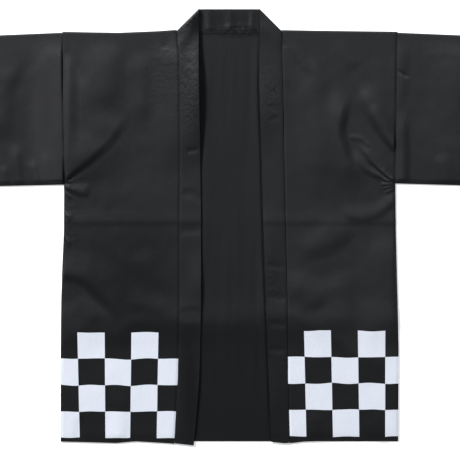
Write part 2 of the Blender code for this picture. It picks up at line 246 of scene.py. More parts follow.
# Below the lower packing crease the cloth is smoother from pressing: its roughness is lower and it
# looks darker. On the right sleeve beside the seam it is rougher, and a painted highlight makes its
# colour paler there, in place of light on that lit face.
PRESSED_REACH = 26.0
PRESSED_EDGE = (
    # x,     y of its upper edge
    (-314.0, -196.0),
    (-270.0, -176.0),
    (-215.0, -188.0),
    (-180.0, -160.0),
    (-96.0, -156.0),
    (-20.0, -166.0),
    (56.0, -150.0),
    (104.0, -146.0),
    (140.0, -160.0),
    (186.0, -186.0),
    (236.0, -224.0),
    (310.0, -240.0),
)

PRESSING_AND_HIGHLIGHT_PATCHES = (
    # x, y, reach across, reach along, how smooth pressing leaves it; below 0 it is rougher and carries
    # a painted highlight
    (-200.0, -90.0, 210.0, 190.0, 1.3),
    (-76.0, -300.0, 26.0, 160.0, 1.1),
    (0.0, 384.0, 110.0, 40.0, 0.9),
    (-66.0, 382.0, 26.0, 38.0, 1.6),
    # the right sleeve beside its seam: rougher, and painted with the highlight of its lit face
    (-341.0, 212.0, 46.0, 176.0, -2.6),
)

# Places where the cloth is finely crumpled. Elsewhere it is nearly smooth.
CRUMPLE_LEAST = 0.12
CRUMPLES = (
    # x, y, reach across, reach along, strength
    (-124.0, 290.0, 62.0, 130.0, 0.6),
    (-78.0, 266.0, 46.0, 150.0, 1.25),
    (-84.0, 378.0, 34.0, 34.0, 1.4),
    (-334.0, 286.0, 80.0, 130.0, 0.3),
    (-297.0, 86.0, 36.0, 38.0, 1.0),
    (-298.0, 6.0, 24.0, 84.0, 0.8),
    (76.0, 238.0, 36.0, 90.0, 0.9),
    (291.0, 92.0, 42.0, 42.0, 1.0),
    (77.0, -116.0, 36.0, 110.0, 0.8),
    (22.0, 366.0, 66.0, 20.0, 1.7),
)

# Cross lines of the check: the x of each line at the top and the bottom of the print.
CHECK_TOP = {"right": -194.8, "left": -191.7}
CHECK_PITCH = 50.0
CHECK_ROW = 48.75
CHECK_ROWS = 4
CHECK_WANDER = 0.05         # how far a print line wanders, as a share of a row
WANDER_WIDTH = 34.0         # size of its bends across the coat, and along it
WANDER_LENGTH = 70.0
CHECK_LINES = {
    "right": ((-283.2, -278.8), (-232.7, -231.3), (-183.2, -185.7), (-133.2, -136.5)),
    "left": ((136.0, 140.4), (185.6, 189.4), (235.5, 238.3), (286.2, 286.0)),
}


def blend(start, end, share):
    return start + (end - start) * share


def ease(share):
    """0 to 1 with a level start and end."""
    share = min(max(share, 0.0), 1.0)
    return share * share * (3.0 - 2.0 * share)


def bump(distance, reach):
    """1 in the middle of a rise, 0 at its reach to either side."""
    return ease(1.0 - abs(distance) / reach)


def read_row(table, at, column):
    """A column of a table at a place of its first column, between rows and level past the ends."""
    rows = sorted(table)
    if at <= rows[0][0]:
        return rows[0][column]
    for low, high in zip(rows, rows[1:]):
        if at <= high[0]:
            return blend(low[column], high[column], (at - low[0]) / (high[0] - low[0]))
    return rows[-1][column]


@functools.cache
def soft_run(points):
    """The run of a crease with its corners cut twice, a quarter off each stretch, to bend it softly."""
    for _ in range(2):
        cut = [points[0]]
        for start, end in zip(points, points[1:]):
            cut += [tuple(blend(a, b, share) for a, b in zip(start, end)) for share in (0.25, 0.75)]
        points = cut + [points[-1]]
    return points


def crease_height(x, y, left_reach, right_reach, height, narrow, points):
    """Height of one crease at a point of the cloth."""
    widest = max(left_reach, right_reach)
    if not min(p[0] for p in points) - widest < x < max(p[0] for p in points) + widest:
        return 0.0
    if not min(p[1] for p in points) - widest < y < max(p[1] for p in points) + widest:
        return 0.0
    points = soft_run(points)
    lengths = [math.dist(a, b) for a, b in zip(points, points[1:])]
    best = (widest, 0.0, 1.0)
    walked = 0.0
    for (x0, y0), (x1, y1), length in zip(points, points[1:], lengths):
        run_x, run_y = (x1 - x0) / length, (y1 - y0) / length
        along = min(max((x - x0) * run_x + (y - y0) * run_y, 0.0), length)
        off_x, off_y = x - x0 - run_x * along, y - y0 - run_y * along
        distance = math.hypot(off_x, off_y)
        if distance < best[0]:
            best = (distance, (walked + along) / sum(lengths), run_x * off_y - run_y * off_x)
        walked += length
    distance, share, side = best
    fade = ease((1.0 - share) / FOLD_FADE)
    if narrow == 1.0:
        fade *= ease(share / FOLD_FADE)
    reach = left_reach if side > 0.0 else right_reach
    return height * fade * bump(distance, reach * blend(narrow, 1.0, ease(share / FOLD_SPREAD)))


def creases(table, x, y):
    """Height of all the creases of a table at a point of the cloth."""
    return sum(crease_height(x, y, *row[1:]) for row in table)


def packing_height(y):
    """Two level creases, left by folding the coat into its packet."""
    return sum(
        rise * bump(y - crease_y, upward if y > crease_y else downward)
        for crease_y, rise, upward, downward in PACKING_CREASES)


def unevenness(x, y, layer):
    """The slight waviness of stiff cloth that lies loose."""
    return sum(
        height * noise.noise(Vector((x / width, y / length, layer + above)))
        for width, length, height, above in WAVES)


def patches(table, x, y):
    """The strengths of a table's soft patches at a place."""
    return [
        strength * bump(x - at_x, across) * bump(y - at_y, along)
        for at_x, at_y, across, along, strength in table]


def pressing_and_painted_highlight(x, y):
    """How smooth pressing has left the cloth at a place: below 0 it is rougher than elsewhere, and its
    colour carries a painted highlight.
    """
    edge = ease((read_row(PRESSED_EDGE, x, 1) - y) / PRESSED_REACH)
    return edge + sum(patches(PRESSING_AND_HIGHLIGHT_PATCHES, x, y))


def seam_groove(height, distance):
    """Draws cloth down to the line of stitches in a seam."""
    return height - min(height, SEAM_DIP) * (1.0 - ease(distance / SEAM_REACH))


def armhole_lift(side, y):
    """How far the seam of a sleeve is lifted off the back."""
    low, high, rise = ARMHOLE_LIFTS[side]
    return rise * ease((y - low) / ARMHOLE_LOW_FADE) * ease((high - y) / ARMHOLE_TOP_FADE)


def back_height(x, y, free):
    """Height of the back's inside: soft streaks, a low ridge along the left collar's edge, and the
    seam allowance of the neck, turned down and stitched."""
    streak = noise.noise(Vector((x / STREAK_WIDTH, y / STREAK_LENGTH, NOISE_LAYERS["back"])))
    relief = STREAK_HEIGHT * max(streak + STREAK_SHARE, 0.0)
    from_ridge = x - read_row(COLLAR_EDGES, y, 3) + EDGE_RIDGE_OFF
    relief += bump(from_ridge, EDGE_RIDGE_IN if from_ridge < 0.0 else EDGE_RIDGE_OUT)
    allowance = TURNED_RISE * ease((y - NECK_STITCH_Y) / TURNED_STEP)
    return BODY_CLOTH + free * relief + allowance + BACK_PACKING * packing_height(y)


def front_height(x, y, from_side, along):
    """Height of a front over its resting height."""
    from_hem, from_shoulder = along * FRONT_LENGTH, (1.0 - along) * FRONT_LENGTH
    waves = creases(FRONT_CREASES, x, y) + unevenness(x, y, NOISE_LAYERS["fronts"])
    loft = max(FRONT_LOFT + waves * ease(from_shoulder / SHOULDER_REACH), 0.0)
    loft *= ease(from_side * FRONT_WIDTH / SIDE_REACH) * ease(from_hem / HEM_REACH)
    return seam_groove(loft, (1.0 - from_side) * FRONT_WIDTH) + packing_height(y)


def front_place(side, from_side, along):
    """x, y and height of a front's inner skin, along 0 at the hem and 1 at the shoulder."""
    inward = 1.0 if side == "right" else -1.0
    side_column, seam_column = (1, 1) if side == "right" else (2, 4)
    side_x = read_row(SIDE_EDGES, 0.0, side_column)
    x_near = blend(side_x, read_row(COLLAR_EDGES, 0.0, seam_column), from_side)
    y = blend(read_row(HEM_LINE, x_near, 1), read_row(SHOULDER_LINE, x_near, 1), along)
    seam_x = read_row(COLLAR_EDGES, y, seam_column) - inward * SEAM_GAP
    x = blend(read_row(SIDE_EDGES, y, side_column), seam_x, from_side)
    lift = armhole_lift(side, y) * (1.0 - ease(from_side * FRONT_WIDTH / ARMHOLE_REACH))
    return x, y, BODY_REST + lift + front_height(x, y, from_side, along)


def body_place(column, row):
    """Inner skin of the body at a column from right to left and a row from back hem to front hem.

    Gives x, y and z as it lies, then u and v, its place on the cloth when that is unfolded flat.
    """
    left_start = FRONT_COLUMNS + NECK_COLUMNS
    if column <= FRONT_COLUMNS:
        side, from_side = "right", read_row(FRONT_COLUMN_PLACES, column, 1)
        spread = blend(SIDE_EDGES[0][1], COLLAR_EDGES[0][1], from_side)
    elif column < left_start:
        side, from_side = None, None
        spread = blend(COLLAR_EDGES[0][1], COLLAR_EDGES[0][4], (column - FRONT_COLUMNS) / NECK_COLUMNS)
    else:
        side = "left"
        from_side = read_row(FRONT_COLUMN_PLACES, 2 * FRONT_COLUMNS + NECK_COLUMNS - column, 1)
        spread = blend(SIDE_EDGES[0][2], COLLAR_EDGES[0][4], from_side)
    if row <= BACK_ROWS:
        share = read_row(BACK_ROW_PLACES, row, 1)
        free = ease((1.0 - share) / BACK_FADE) * ease(share / BACK_FADE)
        y = blend(BACK_HEM_Y, read_row(SHOULDER_LINE, spread, 1), share)
        across = (spread - SIDE_EDGES[0][1]) / (SIDE_EDGES[0][2] - SIDE_EDGES[0][1])
        x = blend(read_row(SIDE_EDGES, y, 1), read_row(SIDE_EDGES, y, 2), across)
        return x, y, back_height(x, y, free), x, y
    if side is None:
        return spread, SHOULDER_Y, BODY_CLOTH, spread, SHOULDER_Y
    if row <= BACK_ROWS + SHOULDER_ROWS:
        x, y, top = front_place(side, from_side, 1.0)
        turn = math.pi * (row - BACK_ROWS) / SHOULDER_ROWS
        radius = (top - BODY_CLOTH) / 2.0
        z = BODY_CLOTH + radius * (1.0 - math.cos(turn))
        return x, y + radius * math.sin(turn), z, x, y + radius * turn
    along = read_row(FRONT_ROW_PLACES, FRONT_ROWS + SHOULDER_ROWS + BACK_ROWS - row, 1)
    x, y, z = front_place(side, from_side, along)
    return x, y, z, x, 2.0 * SHOULDER_Y - y


def check_place(column, row, x, y):
    """Where a point lies on the check: whole numbers fall on its lines, rows count down from 0."""
    side = "right" if column <= FRONT_COLUMNS + NECK_COLUMNS / 2 else "left"
    wander = noise.noise(Vector((x / WANDER_WIDTH, y / WANDER_LENGTH, NOISE_LAYERS["print"])))
    down = (CHECK_TOP[side] - y) / CHECK_ROW + CHECK_WANDER * wander
    lines = [blend(top, bottom, down / CHECK_ROWS) for top, bottom in CHECK_LINES[side]]
    if row <= BACK_ROWS:
        side_x = read_row(SIDE_EDGES, y, 1)
        return 1.0 - (lines[0] - side_x) / CHECK_PITCH - (x - side_x) / CHECK_PITCH, down
    for number, (low, high) in enumerate(zip(lines, lines[1:]), start=1):
        if x < high or number == len(lines) - 1:
            if x < low:
                return number - (low - x) / CHECK_PITCH, down
            if x < high:
                return number + (x - low) / (high - low), down
    return len(lines) + (x - lines[-1]) / CHECK_PITCH, down


def add_object(name, shape):
    """Puts a finished shape into the scene."""
    mesh = bpy.data.meshes.new(name)
    shape.to_mesh(mesh)
    shape.free()
    piece = bpy.data.objects.new(name, mesh)
    bpy.context.scene.collection.objects.link(piece)
    return piece


def new_cloth(name, columns, rows, place, wall, grows, closed=False, keep=None, mark=None):
    """A grid of cloth thickened to one closed wall. place(column, row) gives x, y, z, u and v.

    u and v run across and along the cloth as cut, for its weave. grows is -1 if the wall grows to
    one side of the grid, against its normals, and 0 if to both. closed joins edges that meet, keep
    tells which faces stay, and mark gives a second map.
    """
    shape = bmesh.new()
    bmesh.ops.create_grid(shape, x_segments=columns, y_segments=rows, size=0.5)
    cloth_map = shape.loops.layers.uv.new("cloth")
    mark_map = shape.loops.layers.uv.new("mark") if mark else None
    crumple_layer = shape.verts.layers.float.new("crumple")
    # The pressing map also carries the painted highlight on the right sleeve, where it is below 0.
    pressing_and_highlight_layer = shape.verts.layers.float.new("pressing_and_painted_highlight")
    for vert in shape.verts:
        vert.co = (round((vert.co.x + 0.5) * columns), round((vert.co.y + 0.5) * rows), 0.0)
    if keep:
        cut = [face for face in shape.faces if not keep(*face.calc_center_median().xy)]
        bmesh.ops.delete(shape, geom=cut, context="FACES")
    spots = {vert: (vert.co.x, vert.co.y, place(vert.co.x, vert.co.y)) for vert in shape.verts}
    for face in shape.faces:
        face.smooth = True
        for loop in face.loops:
            column, row, (x, y, z, u, v) = spots[loop.vert]
            loop[cloth_map].uv = (u * MM, v * MM)
            if mark:
                loop[mark_map].uv = mark(column, row, x, y)
    for vert, (column, row, point) in spots.items():
        vert.co = Vector(point[:3]) * MM
        vert[crumple_layer] = max(CRUMPLE_LEAST, *patches(CRUMPLES, *point[:2]))
        vert[pressing_and_highlight_layer] = pressing_and_painted_highlight(*point[:2])
    if closed:
        bmesh.ops.remove_doubles(shape, verts=shape.verts, dist=0.00001)
    for edge in shape.edges:
        edge.smooth = not edge.is_boundary
    piece = add_object(name, shape)
    solidify = piece.modifiers.new("wall", "SOLIDIFY")
    solidify.thickness = wall * MM
    solidify.offset = grows
    solidify.use_even_offset = True
    return piece


def on_body(column, row):
    """The body's cloth is slit from the neck down the front."""
    return row < BACK_ROWS or not FRONT_COLUMNS < column < FRONT_COLUMNS + NECK_COLUMNS


BLACK = (0.0030, 0.0030, 0.0042, 1.0)
# Painted highlight: a paler black mixed into the colour of the right sleeve's lit face beside its seam.
PAINTED_HIGHLIGHT = (0.0115, 0.0108, 0.0128, 1.0)
PRINT_WHITE = (0.638, 0.654, 0.722, 1.0)
WORN_TONES = (0.7, 1.3)     # darkest and palest tone of the cloth, as shares of its black
CLOTH_ROUGHNESS = 0.5
PRESSED_POLISH = -0.12      # change of the roughness with each step of smoother pressing
PAINTED_HIGHLIGHT_GAIN = -0.5          # change of the painted highlight's share with it, so that the highlight is full at -2
# An even number of squares keeps the check's map above 0, and 0.5 keeps it off the checker's planes.
CHECK_SHIFT = (20.0, 20.0, 0.5)


def feed(material, node, inputs):
    """Gives each input of a node a value, or a link from the output of another node."""
    for name, source in inputs.items():
        if isinstance(source, bpy.types.NodeSocket):
            material.node_tree.links.new(source, node.inputs[name])
        else:
            node.inputs[name].default_value = source


def feed_shader(material, inputs):
    """Gives the material's own shader its inputs."""
    feed(material, material.node_tree.nodes["Principled BSDF"], inputs)


def new_material(name):
    """A material built of nodes."""
    material = bpy.data.materials.new(name)
    material.use_nodes = True
    return material


def new_node(material, kind, output, inputs, **settings):
    """Adds a node and returns the output of it that is used."""
    node = material.node_tree.nodes.new("ShaderNode" + kind)
    for name, setting in settings.items():
        setattr(node, name, setting)
    feed(material, node, inputs)
    return node.outputs[output]


def weave_relief(material, thread):
    """Ribs along the cloth and slubs in its thread, with fine wrinkles where it is crumpled."""
    ribs = new_node(
        material, "TexWave", "Fac",
        {"Vector": thread, "Scale": 240.0, "Distortion": 1.4, "Detail": 2.0, "Detail Scale": 3.0},
        bands_direction="X")
    slub_place = new_node(material, "Mapping", "Vector", {"Vector": thread, "Scale": (1.0, 0.07, 1.0)})
    slubs = new_node(material, "TexNoise", "Fac", {"Vector": slub_place, "Scale": 330.0, "Detail": 4.0})
    weave = new_node(material, "Math", 0, {0: ribs, 1: slubs}, operation="ADD")
    relief = new_node(
        material, "Bump", "Normal", {"Height": weave, "Strength": 0.7, "Distance": 0.00025})
    wrinkles = new_node(
        material, "TexNoise", "Fac",
        {"Vector": thread, "Scale": 120.0, "Detail": 2.5, "Distortion": 0.4})
    crumpled = new_node(material, "Attribute", "Fac", {}, attribute_name="crumple")
    depth = new_node(material, "Math", 0, {0: wrinkles, 1: crumpled}, operation="MULTIPLY")
    return new_node(
        material, "Bump", "Normal",
        {"Height": depth, "Normal": relief, "Strength": 1.0, "Distance": 0.0009})


def print_check(material, ground):
    """The colour of the cloth with its white check, read from the mark map."""
    mark = new_node(material, "UVMap", "UV", {}, uv_map="mark")
    shifted = new_node(material, "VectorMath", "Vector", {0: mark, 1: CHECK_SHIFT}, operation="ADD")
    checks = new_node(
        material, "TexChecker", "Color",
        {"Vector": shifted, "Scale": 1.0,
         "Color1": (1.0, 1.0, 1.0, 1.0), "Color2": (0.0, 0.0, 0.0, 1.0)})
    down = new_node(material, "SeparateXYZ", "Y", {"Vector": mark})
    band = new_node(
        material, "Math", 0, {0: down, 1: CHECK_ROWS / 2.0, 2: CHECK_ROWS / 2.0}, operation="COMPARE")
    ink = new_node(material, "Math", 0, {0: checks, 1: band}, operation="MULTIPLY")
    return new_node(
        material, "Mix", "Result", {"Factor": ink, "A": ground, "B": PRINT_WHITE}, data_type="RGBA")


def cloth_material(name, sheen, printed=False):
    """Black ribbed cloth with a soft sheen, plain or printed, and a painted highlight where it is
    rougher than elsewhere.
    """
    material = new_material(name)
    thread = new_node(material, "UVMap", "UV", {}, uv_map="cloth")
    pressing_and_highlight = new_node(material, "Attribute", "Fac", {}, attribute_name="pressing_and_painted_highlight")
    roughness = new_node(
        material, "Math", 0, {0: pressing_and_highlight, 1: PRESSED_POLISH, 2: CLOTH_ROUGHNESS},
        operation="MULTIPLY_ADD")
    wear = new_node(material, "TexNoise", "Fac", {"Vector": thread, "Scale": 14.0, "Detail": 5.0})
    dark, pale = (tuple(share * c for c in BLACK[:3]) + (1.0,) for share in WORN_TONES)
    tone = new_node(
        material, "Mix", "Result", {"Factor": wear, "A": dark, "B": pale}, data_type="RGBA")
    # Painted highlight: where the cloth is rougher than elsewhere, on the right sleeve, its colour is
    # mixed towards a paler black.
    painted_highlight_share = new_node(
        material, "Math", 0, {0: pressing_and_highlight, 1: PAINTED_HIGHLIGHT_GAIN}, operation="MULTIPLY", use_clamp=True)
    colour = new_node(
        material, "Mix", "Result", {"Factor": painted_highlight_share, "A": tone, "B": PAINTED_HIGHLIGHT}, data_type="RGBA")
    feed_shader(material, {
        "Base Color": print_check(material, colour) if printed else colour,
        "Roughness": roughness,
        "Specular IOR Level": sheen,
        "Normal": weave_relief(material, thread),
    })
    return material


plain_cloth = cloth_material("plain_cloth", 0.32)
inside_cloth = cloth_material("inside_cloth", 0.26)
printed_cloth = cloth_material("printed_cloth", 0.32, printed=True)

body = new_cloth(
    "body", 2 * FRONT_COLUMNS + NECK_COLUMNS, BACK_ROWS + SHOULDER_ROWS + FRONT_ROWS,
    body_place, BODY_CLOTH, -1.0, keep=on_body, mark=check_place)
body.data.materials.append(inside_cloth)
body.data.materials.append(printed_cloth)
body.modifiers["wall"].material_offset = 1
body.modifiers["wall"].material_offset_rim = 1
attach(body, "root")
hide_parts("back", "front_right", "front_left")

# Sleeves: each a rectangle of the same cloth folded along its top and sewn under the arm, set on
# straight at the body's side edge. The cuff is turned in and stitched, and stays open.
CUFF_X = 620.0
SLEEVE_EDGE = 3.0           # height of a sleeve along its folded edges
SLEEVE_SEAM_REACH = 2.6     # a sleeve dips into its seam within this
SLEEVE_LOW_FADE = 0.025     # shares of its depth in which its creases fade towards its lower edge
SLEEVE_TOP_FADE = 0.14      # and towards its top
CUFF_TURN = 14.0            # width of the turned-in cuff, stitched along its inner edge
SLEEVE_COLUMNS = 76
SLEEVE_TOP_ROWS = 96
SLEEVE_BEND_ROWS = 5
SLEEVE_UNDER_ROWS = 30
SLEEVE_ROWS = SLEEVE_TOP_ROWS + SLEEVE_UNDER_ROWS + 2 * SLEEVE_BEND_ROWS

SLEEVE_EDGES = (
    # distance out, right top, right low, left top, left low
    (0.0, 359.8, 78.2, 359.8, 80.4),
    (116.0, 355.0, 75.7, 355.0, 77.1),
    (311.0, 348.0, 71.5, 347.0, 71.5),
)

SLEEVE_CREASES = (
    # name, left reach, right reach, height, narrow, points
    ("right seam ridge", 40, 70, 5.6, 1.0,
     ((-300, 376), (-300, 280), (-300, 200), (-300, 90), (-302, -20))),
    ("right diagonal", 40, 22, 1.0, 1.0, ((-318, 334), (-346, 296), (-374, 268))),
    ("right outer ridge", 30, 44, 2.6, 1.0, ((-402, 320), (-424, 240), (-418, 150))),
    ("right edge ridge one", 18, 14, 1.4, 0.6, ((-386, 66), (-394, 104), (-398, 158))),
    ("right edge ridge two", 17, 9, 1.5, 0.6, ((-354, 66), (-358, 92), (-366, 128))),
    ("right edge ridge three", 10, 8, 1.2, 0.6, ((-326, 66), (-334, 92), (-346, 142))),
    ("right edge ridge four", 13, 12, 1.1, 0.6, ((-412, 66), (-418, 94), (-420, 116))),
    ("right cuff ridge", 44, 60, 3.6, 1.0, ((-486, 320), (-520, 130))),
    ("right cuff trough", 24, 30, -1.8, 1.0, ((-560, 300), (-548, 160))),
    ("right cuff edge ridge", 14, 10, 2.4, 0.7, ((-500, 66), (-512, 122))),
    ("left seam ridge", 18, 15, 2.1, 0.9, ((320, 70), (320, 120), (319, 170), (317, 220))),
    ("left upper seam ridge", 16, 8, 0.5, 1.0, ((316, 345), (318, 290), (318, 210))),
    ("left seam nick", 5, 5, -1.4, 0.6, ((311, 288), (330, 276))),
    ("left sleeve ridge", 60, 96, 3.6, 1.0, ((430, 370), (426, 220), (430, 30))),
    ("left edge ridge", 20, 22, 1.2, 0.7, ((404, 66), (398, 104), (386, 138))),
    ("left cuff ridge", 50, 60, 3.4, 1.0, ((500, 310), (470, 130))),
    ("left cuff trough", 30, 26, -1.6, 1.0, ((560, 290), (572, 150))),
    ("left cuff edge ridge", 12, 12, 2.2, 0.7, ((520, 66), (530, 118))),
)

# The mesh of a sleeve is closest at its seam.
SLEEVE_COLUMN_PLACES = (
    # column from the seam, share of the length
    (0, 0.0),
    (6, 0.03),
    (48, 0.4),
    (72, 0.98),
    (SLEEVE_COLUMNS, 1.0),
)


def sleeve_section(row, top_y, low_y):
    """One step round a flattened sleeve: y, z, and its share across the upper layer if it is on it."""
    radius = SLEEVE_EDGE / 2.0
    low_end, top_end = low_y + radius, top_y - radius
    row %= SLEEVE_ROWS
    if row < SLEEVE_TOP_ROWS:
        share = row / SLEEVE_TOP_ROWS
        return blend(low_end, top_end, share), SLEEVE_EDGE, share
    row -= SLEEVE_TOP_ROWS
    if row < SLEEVE_BEND_ROWS:
        turn = math.pi * row / SLEEVE_BEND_ROWS
        return top_end + radius * math.sin(turn), radius + radius * math.cos(turn), 1.0
    row -= SLEEVE_BEND_ROWS
    if row < SLEEVE_UNDER_ROWS:
        return blend(top_end, low_end, row / SLEEVE_UNDER_ROWS), 0.0, 1.0
    turn = math.pi * (row - SLEEVE_UNDER_ROWS) / SLEEVE_BEND_ROWS
    return low_end - radius * math.sin(turn), radius - radius * math.cos(turn), 0.0


def sleeve_place(side, column, row):
    """Outer skin of a sleeve: columns run towards +X, rows once round it from its lower edge."""
    out = -1.0 if side == "right" else 1.0
    columns_out = column if side == "left" else SLEEVE_COLUMNS - column
    from_seam = read_row(SLEEVE_COLUMN_PLACES, columns_out, 1)
    reach = from_seam * SLEEVE_EDGES[-1][0]
    top_column = 1 if side == "right" else 3
    top_y = read_row(SLEEVE_EDGES, reach, top_column)
    low_y = read_row(SLEEVE_EDGES, reach, top_column + 1)
    y, z, share = sleeve_section(row, top_y, low_y)
    x = blend(read_row(SIDE_EDGES, y, 1 if side == "right" else 2), out * CUFF_X, from_seam)
    loft = FRONT_LOFT + creases(SLEEVE_CREASES, x, y) + unevenness(x, y, NOISE_LAYERS[side + " sleeve"])
    loft = blend(armhole_lift(side, y), max(loft, 0.0), ease(reach / SLEEVE_SEAM_REACH))
    loft += TURNED_RISE * ease((reach - SLEEVE_EDGES[-1][0] + CUFF_TURN) / TURNED_STEP)
    loft *= ease(share / SLEEVE_LOW_FADE) * ease((1.0 - share) / SLEEVE_TOP_FADE)
    under = row % SLEEVE_ROWS > SLEEVE_TOP_ROWS
    return x, y, z + loft, x, 2.0 * top_y - y if under else y


for side in ("right", "left"):
    sleeve = new_cloth(
        "sleeve_" + side + "_cloth", SLEEVE_COLUMNS, SLEEVE_ROWS,
        lambda column, row: sleeve_place(side, column, row), BODY_CLOTH, -1.0, closed=True)
    sleeve.data.materials.append(plain_cloth)
    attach(sleeve, "root")
    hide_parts("sleeve_" + side)

# Collar: one long strip of the same cloth folded double, sewn to the raw edges of the fronts and
# of the back neck. At each neck corner it is turned over on itself by a fold at 45 degrees.
COLLAR_WALL = 2.0
COLLAR_WIDTH = 40.0
COLLAR_COLUMNS = 14
COLLAR_FRONT_ROWS = 190
COLLAR_TURN_ROWS = 10
COLLAR_NECK_ROWS = 26
COLLAR_ROWS = 2 * (COLLAR_FRONT_ROWS + COLLAR_TURN_ROWS + COLLAR_NECK_ROWS)
COLLAR_REST = 1.5           # underside of the strip along a front, before its lifts and its loft
COLLAR_LOFT = 0.6           # how loosely the strip lies along a front
COLLAR_WAVES = 0.35         # share of the cloth's unevenness that it has there
CORNER_FADE = 20.0          # both and its creases fade within this before a corner's fold
NECK_LOFT = 0.25            # the same three along the neck, past the fold
NECK_WAVES = 0.3
NECK_FADE = 8.0
NECK_FINER = 3.0            # the unevenness is this much finer there
NECK_EDGE = 0.1             # share of the strip's width in which all of it fades at both edges
FOLD_GAP = 0.5              # gap between the two layers where the strip is turned over
FOLD_RADIUS = (COLLAR_WALL + FOLD_GAP) / 2.0
TURN_LENGTH = math.pi * FOLD_RADIUS
TURN_START = -TURN_LENGTH / math.sqrt(2.0)
NECK_MIDDLE_X = (COLLAR_EDGES[0][1] + COLLAR_EDGES[0][4]) / 2.0
EDGE_COLUMNS = {"right": (1, 2), "left": (4, 3)}        # seam and free edge of a side

COLLAR_LIFTS = (
    # side, y, reach to either side, rise of the free edge
    ("right", 252.0, 150.0, 9.0),
    ("right", -110.0, 80.0, 2.6),
    ("right", -300.0, 110.0, 1.2),
    ("left", 215.0, 90.0, 2.5),
    ("left", -60.0, 120.0, 3.0),
    ("left", -330.0, 90.0, 2.5),
)

# A neck corner puffs up along its fold and sinks again towards the strip's free edge.
CORNER_REACH = 36.0
CORNER_PUFFS = (
    # share of the strip's width, right, left
    (0.0, 0.0, 0.0),
    (0.2, 2.2, 0.5),
    (0.5, 4.4, 0.7),
    (1.0, 4.6, 0.7),
)

COLLAR_CREASES = (
    # name, left reach, right reach, height, narrow, points
    ("right dip one", 7, 5, -1.6, 1.0, ((-56, 144), (-84, 141))),
    ("right dip two", 12, 6, -2.0, 0.8, ((-54, 52), (-70, 66), (-92, 62))),
    ("right dip three", 9, 18, -0.8, 1.0, ((-50, -6), (-98, -10))),
    ("right dip four", 22, 14, -1.2, 1.0, ((-48, -158), (-100, -162))),
    ("right nick one", 4, 4, -0.9, 1.0, ((-86, 280), (-72, 268))),
    ("right nick two", 4, 3, -0.9, 1.0, ((-88, 262), (-74, 257))),
    ("right nick three", 5, 3, -0.8, 1.0, ((-90, 300), (-66, 308))),
    ("left dip one", 9, 6, -1.4, 1.0, ((66, -70), (102, -76))),
    ("left dip two", 10, 7, -1.4, 1.0, ((66, -128), (104, -134))),
    ("left dip three", 10, 7, -1.3, 1.0, ((68, -178), (105, -182))),
    ("left dip four", 8, 6, -1.3, 1.0, ((69, -226), (104, -229))),
    ("left nick one", 4, 4, -0.8, 1.0, ((62, 262), (92, 240))),
    ("left nick two", 5, 4, -0.8, 1.0, ((62, 228), (92, 214))),
    ("left nick three", 4, 5, -0.7, 1.0, ((66, 196), (94, 204))),
)

NECK_CREASES = (
    # name, left reach, right reach, height, narrow, points
    ("neck ridge one", 9, 5, 1.0, 0.9, ((41, 366), (42, 404))),
    ("neck ridge two", 12, 14, 0.9, 0.9, ((-38, 366), (-42, 404))),
    ("neck ridge three", 16, 10, 0.8, 0.9, ((0, 366), (4, 404))),
    ("neck pucker", 5, 4, 1.2, 1.0, ((-14, 371), (12, 374), (34, 371), (50, 374))),
)


def collar_length(side, lateral, row):
    """Length along the flat strip at a row from the hem: 0 at the shoulder, positive past it."""
    seam_column, edge_column = EDGE_COLUMNS[side]
    hem_x = blend(COLLAR_EDGES[-1][seam_column], COLLAR_EDGES[-1][edge_column], lateral / COLLAR_WIDTH)
    hem = read_row(HEM_LINE, hem_x, 1) - SHOULDER_Y
    turn = TURN_START + lateral
    turned = turn + TURN_LENGTH * math.sqrt(2.0)
    middle = abs(COLLAR_EDGES[0][seam_column] - NECK_MIDDLE_X)
    if row <= COLLAR_FRONT_ROWS:
        return blend(hem, turn, row / COLLAR_FRONT_ROWS)
    row -= COLLAR_FRONT_ROWS
    if row <= COLLAR_TURN_ROWS:
        return blend(turn, turned, row / COLLAR_TURN_ROWS)
    return blend(turned, middle, (row - COLLAR_TURN_ROWS) / COLLAR_NECK_ROWS)


